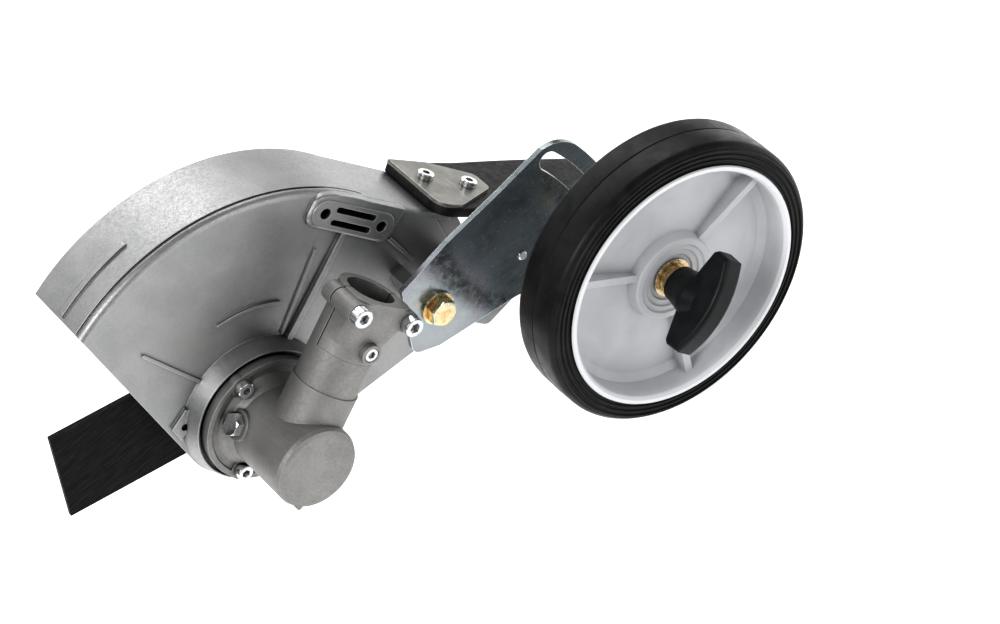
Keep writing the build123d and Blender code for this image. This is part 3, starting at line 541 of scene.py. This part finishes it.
def tyre_piece():
    """Solid tyre with a parting line round the tread and raised rings on each sidewall."""
    low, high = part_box("tyre")
    outer = (high.x - low.x) / 2 / MM
    near = low.y / MM - HEAD.y
    far = high.y / MM - HEAD.y
    split = (near + far) / 2 + PARTING_OFFSET
    profile = [(TYRE_BORE, near + 0.9, 0), (67.6, near + 0.9, 0.3)]
    for ring in TYRE_RINGS:
        profile += sidewall_ring(ring, near + 0.95, near + 0.05)
    profile += [
        (outer - 2.6, near + 0.7, 0.7), (outer - 0.25, near + 3.0, 1.8),
        (outer - 0.02, split - 0.55, 0.3), (outer - 0.55, split - 0.25, 0.1),
        (outer - 0.55, split + 0.1, 0.1), (outer - 0.12, split + 0.35, 0.3),
        (outer - 0.35, far - 2.6, 1.8), (outer - 2.6, far - 0.6, 0.7)]
    for ring in reversed(TYRE_RINGS[1:]):
        profile += reversed(sidewall_ring(ring, far - 0.8, far - 0.05))
    profile += [(TYRE_BORE, far - 1.3, 0)]
    profile = rounded_profile(profile)
    piece = turned_about_axle("tyre_moulded", profile, FINISHES["tyre_rubber"], TYRE_SEGMENTS)
    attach(piece, "wheel")
    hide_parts("tyre")


def flap_rise(x, y):
    """Rise of the flap above its flat place, in mm, at x across and y down from its upper corner."""
    free = max(0.0, y - FLAP_HELD) / (FLAP_LENGTH - FLAP_HELD)
    edge = 1 - x / FLAP_WIDTH
    ripple = FLAP_RIPPLE * math.sin(0.13 * x + 1.1) * free
    return FLAP_CURL * free ** 2 + FLAP_WAVE * edge * math.sin(math.pi * min(1.0, free * 1.1)) + ripple


def flap_points():
    """Both faces of the flap, row by row down its slope."""
    corner = head(*FLAP_CORNER)
    across = Vector((0, -1, 0))
    down = Vector((math.cos(FLAP_SLOPE), 0, -math.sin(FLAP_SLOPE)))
    out = Vector((math.sin(FLAP_SLOPE), 0, math.cos(FLAP_SLOPE)))
    points = []
    for side_level in (0.0, FLAP_THICKNESS):
        for row in range(FLAP_ROWS + 1):
            y = FLAP_LENGTH * row / FLAP_ROWS
            reach = FLAP_WIDTH
            if y < FLAP_ROUNDING:
                reach = FLAP_WIDTH - FLAP_ROUNDING + math.sqrt(FLAP_ROUNDING ** 2 - (FLAP_ROUNDING - y) ** 2)
            for column in range(FLAP_COLUMNS + 1):
                x = reach * column / FLAP_COLUMNS
                rise = side_level + flap_rise(x, y)
                points.append(corner + (across * x + down * y + out * rise) * MM)
    return points


def flap_faces():
    """Faces between the points of flap_points: two sheets and the rim that joins them."""
    line = FLAP_COLUMNS + 1
    layer = (FLAP_ROWS + 1) * line
    faces = []
    for row in range(FLAP_ROWS):
        for column in range(FLAP_COLUMNS):
            a = row * line + column
            b, c, d = a + 1, a + line + 1, a + line
            faces.append((a, d, c, b))
            faces.append((layer + a, layer + b, layer + c, layer + d))
    rim = list(range(line))
    rim += [row * line + FLAP_COLUMNS for row in range(1, FLAP_ROWS + 1)]
    rim += [FLAP_ROWS * line + column for column in range(FLAP_COLUMNS - 1, -1, -1)]
    rim += [row * line for row in range(FLAP_ROWS - 1, 0, -1)]
    for index, a in enumerate(rim):
        b = rim[(index + 1) % len(rim)]
        faces.append((a, b, layer + b, layer + a))
    return faces


def flap_piece():
    """Rubber flap: a thick sheet, wavy and a little curled past the guard's tongue."""
    piece = add_piece("flap_sheet", flap_points(), flap_faces(), FINISHES["rubber"])
    soften = piece.modifiers.new("edge", "BEVEL")
    soften.width = FLAP_EDGE * MM
    soften.segments = 2
    soften.limit_method = "ANGLE"
    soften.angle_limit = math.radians(50)
    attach(piece, "frame")
    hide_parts("rubber_flap")


# ---------------------------------------------------------------- stage, light and camera
def floor_material():
    """Pale sweep that stays near white in the softest shadows."""
    look = Look("pale_floor", roughness=0.8)
    cloud = look.spread(look.noise(0.004, 3.0), 0.3, 0.7)
    tint = look.mix(cloud, (0.80, 0.80, 0.80), (0.83, 0.83, 0.83))
    look.shader.inputs["Emission Color"].default_value = (1, 1, 1, 1)
    look.shader.inputs["Emission Strength"].default_value = 0.62
    return look.finish(tint)


def make_floor():
    """Level floor a little below the part."""
    level = cad_low.z - FLOOR_DROP
    half = FLOOR_HALF
    corners = [(-half, -half, level), (half, -half, level), (half, half, level), (-half, half, level)]
    floor = add_piece("floor", corners, [(0, 1, 2, 3)], floor_material(), smooth=False)


def area_light(name, place, target, size, power):
    """Rectangular soft light that faces its target."""
    light = bpy.data.lights.new(name, "AREA")
    light.shape = "RECTANGLE"
    light.size, light.size_y = size
    light.energy = power
    lamp = bpy.data.objects.new(name, light)
    bpy.context.scene.collection.objects.link(lamp)
    lamp.location = place
    lamp.rotation_euler = (Vector(target) - Vector(place)).to_track_quat("-Z", "Y").to_euler()


def make_world():
    """Dim fill from all round, and plain white behind the floor's edge."""
    world = bpy.data.worlds.new("studio")
    bpy.context.scene.world = world
    world.use_nodes = True
    tree = world.node_tree
    fill = tree.nodes["Background"]
    fill.inputs["Color"].default_value = (0.97, 0.985, 1.0, 1.0)
    fill.inputs["Strength"].default_value = FILL_STRENGTH
    backdrop = tree.nodes.new("ShaderNodeBackground")
    backdrop.inputs["Color"].default_value = (1.0, 1.0, 1.0, 1.0)
    seen = tree.nodes.new("ShaderNodeLightPath")
    choice = tree.nodes.new("ShaderNodeMixShader")
    tree.links.new(seen.outputs["Is Camera Ray"], choice.inputs[0])
    tree.links.new(fill.outputs[0], choice.inputs[1])
    tree.links.new(backdrop.outputs[0], choice.inputs[2])
    tree.links.new(choice.outputs[0], tree.nodes["World Output"].inputs["Surface"])


def make_camera():
    """Camera without lens shift or depth of field, turned by its heading, dip and roll."""
    lens = bpy.data.cameras.new("camera")
    lens.sensor_width = CAMERA_SENSOR
    lens.lens = CAMERA_LENS
    lens.clip_start = 0.05
    lens.clip_end = 20.0
    camera = bpy.data.objects.new("camera", lens)
    bpy.context.scene.collection.objects.link(camera)
    level_view = math.radians(90.0)
    turn = Matrix.Rotation(-CAMERA_HEADING, 4, "Z") @ Matrix.Rotation(level_view - CAMERA_DIP, 4, "X")
    camera.matrix_world = Matrix.Translation(CAMERA_PLACE) @ turn @ Matrix.Rotation(CAMERA_ROLL, 4, "Z")
    bpy.context.scene.camera = camera


def set_tones():
    """Contrast of the finished picture."""
    bpy.context.scene.view_settings.view_transform = "Standard"
    bpy.context.scene.view_settings.look = "Medium High Contrast"


# ---------------------------------------------------------------- the scene
finish_cad_nodes()
tyre_piece()
flap_piece()
make_floor()
make_world()
for light in LIGHTS:
    area_light(*light)
make_camera()
set_tones()
